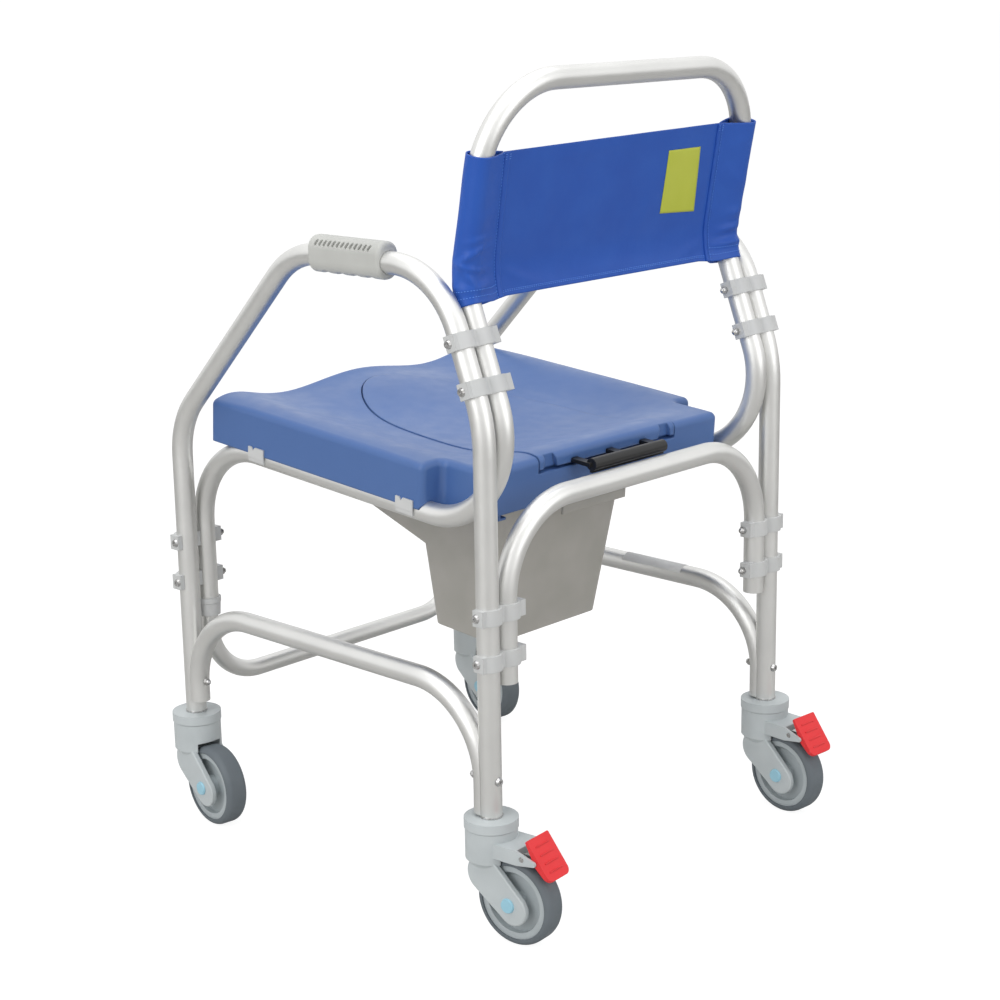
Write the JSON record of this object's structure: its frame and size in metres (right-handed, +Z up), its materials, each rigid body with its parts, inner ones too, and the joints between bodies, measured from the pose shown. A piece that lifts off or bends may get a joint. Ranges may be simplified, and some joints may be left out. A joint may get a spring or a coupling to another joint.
{
  "type": "commode chair",
  "caption": "Wheeled commode chair: bent-tube frame with armrests, moulded seat with lid and slide-out bucket, sling back, castors with rear brakes.",
  "frame": {"origin": "on the floor, at the middle of the chair's length and width", "axes": "+X to the sitter's left, +Y to the rear, +Z up; the sitter faces -Y"},
  "size_m": [0.5608, 0.635, 0.935],
  "materials": {
    "tube": "satin clear-anodised bent tube",
    "grey_plastic": "moulded nylon",
    "screw": "stainless",
    "seat_blue": "moulded, fine grain",
    "black_plastic": "moulded",
    "bucket_grey": "moulded polypropylene",
    "sling_blue": "coated woven nylon",
    "castor_grey": "moulded nylon",
    "rim_grey": "moulded nylon",
    "tyre_grey": "non-marking rubber",
    "cap_blue": "moulded",
    "red_plastic": "moulded",
    "axle_steel": "zinc plated",
    "chrome": "plated ring"
  },
  "bodies": {
    "frame": {"arm_grip_left": "grey_plastic", "arm_grip_right": "grey_plastic", "backrest_sling": "sling_blue", "bracket_bolts": "screw", "bracket_nuts": "screw", "brackets_front": "grey_plastic", "brackets_lower": "grey_plastic", "brackets_upper": "grey_plastic", "castor_disc_front_left": "castor_grey", "castor_disc_front_right": "castor_grey", "castor_disc_rear_left": "castor_grey", "castor_disc_rear_right": "castor_grey", "front_u_tube": "tube", "leg_ferrules": "chrome", "lower_rail_left": "tube", "lower_rail_right": "tube", "rail_bolts": "screw", "rail_nuts": "screw", "rear_cross_tube": "tube", "seat_back_frame": "tube", "seat_clips": "grey_plastic", "seat_shell": "seat_blue", "side_frame_left": "tube", "side_frame_right": "tube", "tube_collars": "grey_plastic"},
    "castor_rear_left": {"castor_fork_rear_left": "castor_grey", "castor_axle_rear_left": "axle_steel", "axle_caps_rear_left": "cap_blue"},
    "wheel_rear_left": {"castor_rim_rear_left": "rim_grey", "castor_tyre_rear_left": "tyre_grey"},
    "castor_rear_right": {"castor_fork_rear_right": "castor_grey", "castor_axle_rear_right": "axle_steel", "axle_caps_rear_right": "cap_blue"},
    "wheel_rear_right": {"castor_rim_rear_right": "rim_grey", "castor_tyre_rear_right": "tyre_grey"},
    "castor_front_left": {"castor_fork_front_left": "castor_grey", "castor_axle_front_left": "axle_steel", "axle_caps_front_left": "cap_blue"},
    "wheel_front_left": {"castor_rim_front_left": "rim_grey", "castor_tyre_front_left": "tyre_grey"},
    "castor_front_right": {"castor_fork_front_right": "castor_grey", "castor_axle_front_right": "axle_steel", "axle_caps_front_right": "cap_blue"},
    "wheel_front_right": {"castor_rim_front_right": "rim_grey", "castor_tyre_front_right": "tyre_grey"},
    "brake_rear_left": {"brake_pedal_rear_left": "red_plastic", "brake_lever_rear_left": "axle_steel"},
    "brake_rear_right": {"brake_pedal_rear_right": "red_plastic", "brake_lever_rear_right": "axle_steel"},
    "lid": {"seat_lid": "seat_blue", "lid_handle": "black_plastic"},
    "bucket": {"bucket": "bucket_grey"}
  },
  "joints": [
    {"name": "rear_left_swivel", "type": "hinge", "parent": "frame", "child": "castor_rear_left", "pos_m": [0.2502, 0.22379, 0.138], "axis": [0, 0, 1], "continuous": true},
    {"name": "rear_left_wheel_spin", "type": "hinge", "parent": "castor_rear_left", "child": "wheel_rear_left", "pos_m": [0.24623, 0.26159, 0.05], "axis": [0.9945, 0.1045, 0], "continuous": true},
    {"name": "rear_left_brake_press", "type": "hinge", "parent": "castor_rear_left", "child": "brake_rear_left", "pos_m": [0.24424, 0.28048, 0.1085], "axis": [-0.9945, -0.1045, 0], "range_deg": [0, 9]},
    {"name": "rear_right_swivel", "type": "hinge", "parent": "frame", "child": "castor_rear_right", "pos_m": [-0.2502, 0.22379, 0.138], "axis": [0, 0, 1], "continuous": true},
    {"name": "rear_right_wheel_spin", "type": "hinge", "parent": "castor_rear_right", "child": "wheel_rear_right", "pos_m": [-0.24788, 0.26172, 0.05], "axis": [0.9981, -0.061, 0], "continuous": true},
    {"name": "rear_right_brake_press", "type": "hinge", "parent": "castor_rear_right", "child": "brake_rear_right", "pos_m": [-0.24672, 0.28069, 0.1085], "axis": [-0.9981, 0.061, 0], "range_deg": [0, 9]},
    {"name": "front_left_swivel", "type": "hinge", "parent": "frame", "child": "castor_front_left", "pos_m": [0.2502, -0.2872, 0.138], "axis": [0, 0, 1], "continuous": true},
    {"name": "front_left_wheel_spin", "type": "hinge", "parent": "castor_front_left", "child": "wheel_front_left", "pos_m": [0.25417, -0.24941, 0.05], "axis": [0.9945, -0.1045, 0], "continuous": true},
    {"name": "front_right_swivel", "type": "hinge", "parent": "frame", "child": "castor_front_right", "pos_m": [-0.2502, -0.2872, 0.138], "axis": [0, 0, 1], "continuous": true},
    {"name": "front_right_wheel_spin", "type": "hinge", "parent": "castor_front_right", "child": "wheel_front_right", "pos_m": [-0.24491, -0.24957, 0.05], "axis": [0.9903, -0.1392, 0], "continuous": true},
    {"name": "lid_lift", "type": "slide", "parent": "frame", "child": "lid", "axis": [0, 0.0785, 0.9969], "range_m": [0, 0.12]},
    {"name": "bucket_slide", "type": "slide", "parent": "frame", "child": "bucket", "axis": [0, 0.9969, -0.0785], "range_m": [0, 0.26]}
  ]
}
